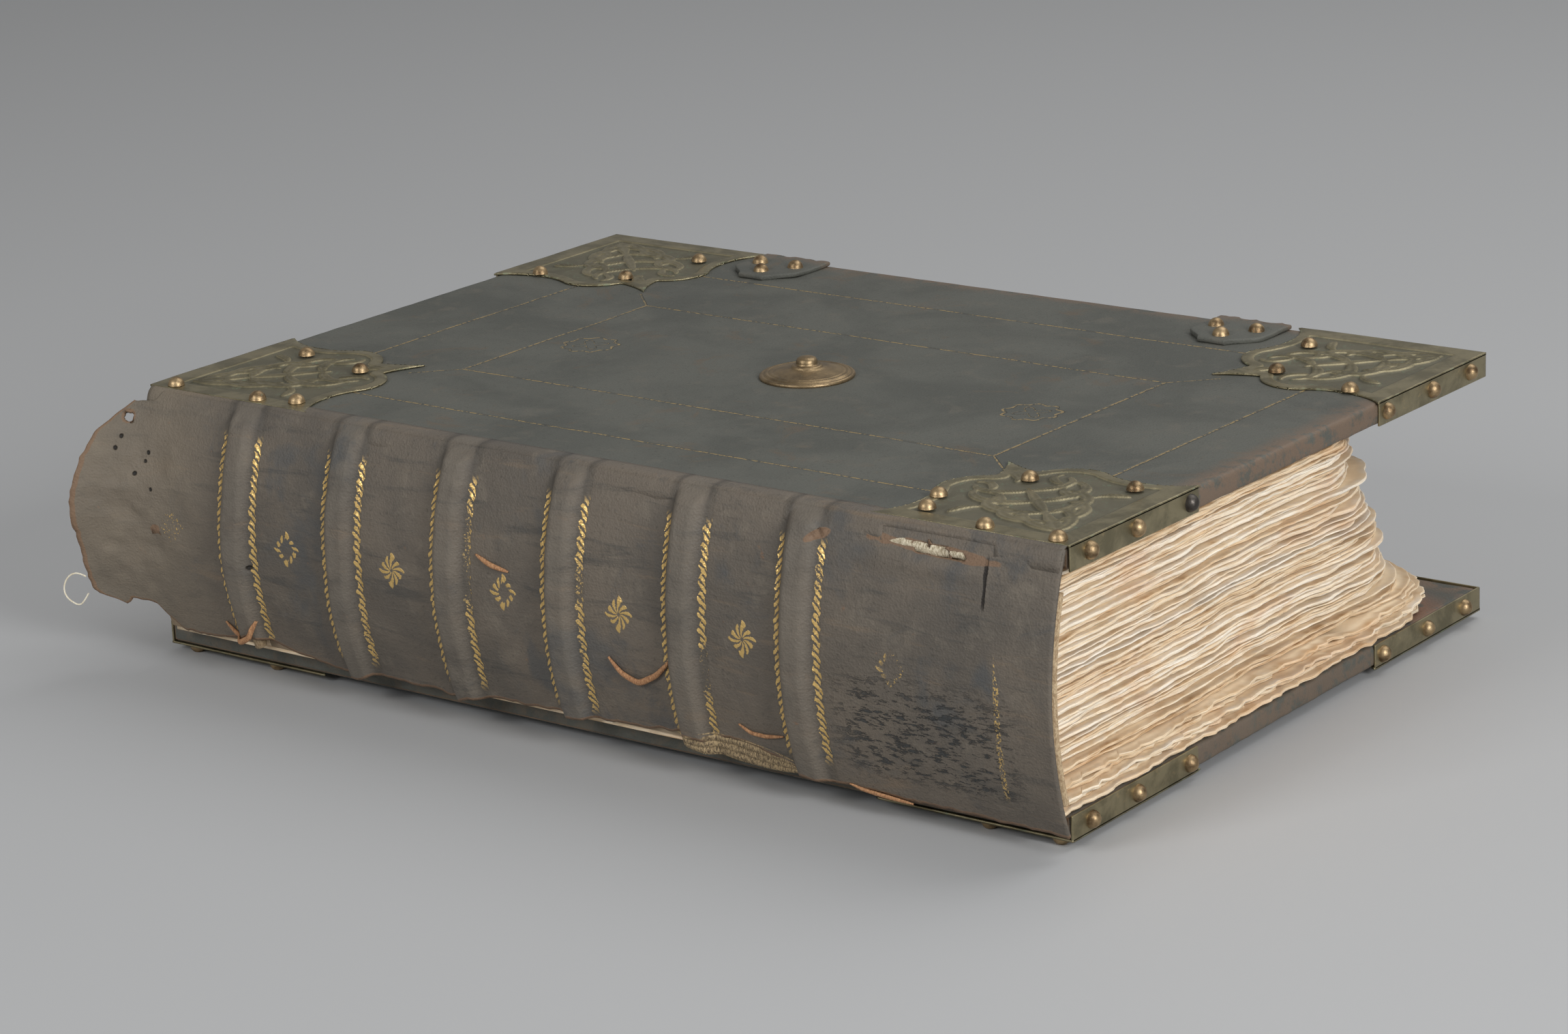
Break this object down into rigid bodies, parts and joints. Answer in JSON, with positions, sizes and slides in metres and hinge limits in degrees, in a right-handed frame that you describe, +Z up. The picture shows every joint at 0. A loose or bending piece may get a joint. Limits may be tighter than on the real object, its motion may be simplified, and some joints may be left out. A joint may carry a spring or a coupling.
{
  "type": "antique leather book",
  "caption": "Large old book with leather over wooden boards, raised bands, brass corner plates, domed nails and a centre boss; both covers swing on the spine.",
  "frame": {"origin": "middle of the footprint, on the surface that the lower cover's nail heads stand on", "axes": "+X along the spine from head to tail, +Y from the spine to the fore-edge, +Z up out of the upper cover"},
  "size_m": [0.4737, 0.3334, 0.1202],
  "materials": {
    "leaves": "browned rag paper, the leaves' edges soiled and uneven",
    "spine_leather": "worn brown-grey calf, cracked and scuffed, with gilt rolls and flowers",
    "cover_leather": "slate-dark calf, mottled, with worn blind and gilt frames",
    "strap_leather": "thick dark leather, torn off short",
    "parchment": "cream parchment waste",
    "hemp_cord": "tan hemp cord",
    "sewing_thread": "pale linen thread",
    "oak_board": "dark quarter-sawn oak",
    "pastedown_paper": "browned paper",
    "plate_brass": "olive patina with verdigris at the edges and in the scrollwork",
    "nail_brass": "rubbed golden brass over brown",
    "boss_brass": "rubbed brass in a ring of verdigris",
    "dark_iron": "rusted dark iron"
  },
  "bodies": {
    "back_cover": {"back_board": "oak_board", "back_cover_leather": "cover_leather", "back_pastedown": "pastedown_paper", "back_head_spine_plate": "plate_brass", "back_tail_spine_plate": "plate_brass", "back_head_fore_plate": "plate_brass", "back_tail_fore_plate": "plate_brass", "back_head_spine_nails": "nail_brass", "back_tail_spine_nails": "nail_brass", "back_head_fore_nails": "nail_brass", "back_tail_fore_nails": "nail_brass", "head_catch": "plate_brass", "tail_catch": "plate_brass", "catch_nails": "nail_brass"},
    "text_block": {"text_block": "leaves", "spine_leather": "spine_leather", "spine_lining_1": "parchment", "spine_lining_2": "parchment", "spine_lining_3": "parchment", "spine_lining_4": "parchment", "spine_lining_5": "parchment", "spine_lining_6": "parchment", "spine_lining_7": "parchment", "sewing_cord_1": "hemp_cord", "sewing_cord_2": "hemp_cord", "sewing_cord_3": "hemp_cord", "sewing_cord_4": "hemp_cord", "sewing_cord_5": "hemp_cord", "sewing_cord_6": "hemp_cord", "head_endband": "hemp_cord", "tail_endband": "hemp_cord", "loose_thread": "sewing_thread"},
    "front_cover": {"front_board": "oak_board", "front_cover_leather": "cover_leather", "front_pastedown": "pastedown_paper", "front_head_spine_plate": "plate_brass", "front_tail_spine_plate": "plate_brass", "front_head_fore_plate": "plate_brass", "front_tail_fore_plate": "plate_brass", "front_head_spine_nails": "nail_brass", "front_tail_spine_nails": "nail_brass", "front_head_fore_nails": "nail_brass", "front_tail_fore_nails": "nail_brass", "iron_nail": "dark_iron", "centre_boss": "boss_brass", "head_strap_stub": "strap_leather", "tail_strap_stub": "strap_leather", "strap_nails": "nail_brass"}
  },
  "joints": [
    {"name": "back_cover_hinge", "type": "hinge", "parent": "back_cover", "child": "text_block", "pos_m": [0.0083, -0.13455, 0.0039], "axis": [1, 0, 0], "range_deg": [0, 70]},
    {"name": "front_cover_hinge", "type": "hinge", "parent": "text_block", "child": "front_cover", "pos_m": [0.0083, -0.13885, 0.1135], "axis": [1, 0, 0], "range_deg": [0, 110]}
  ]
}
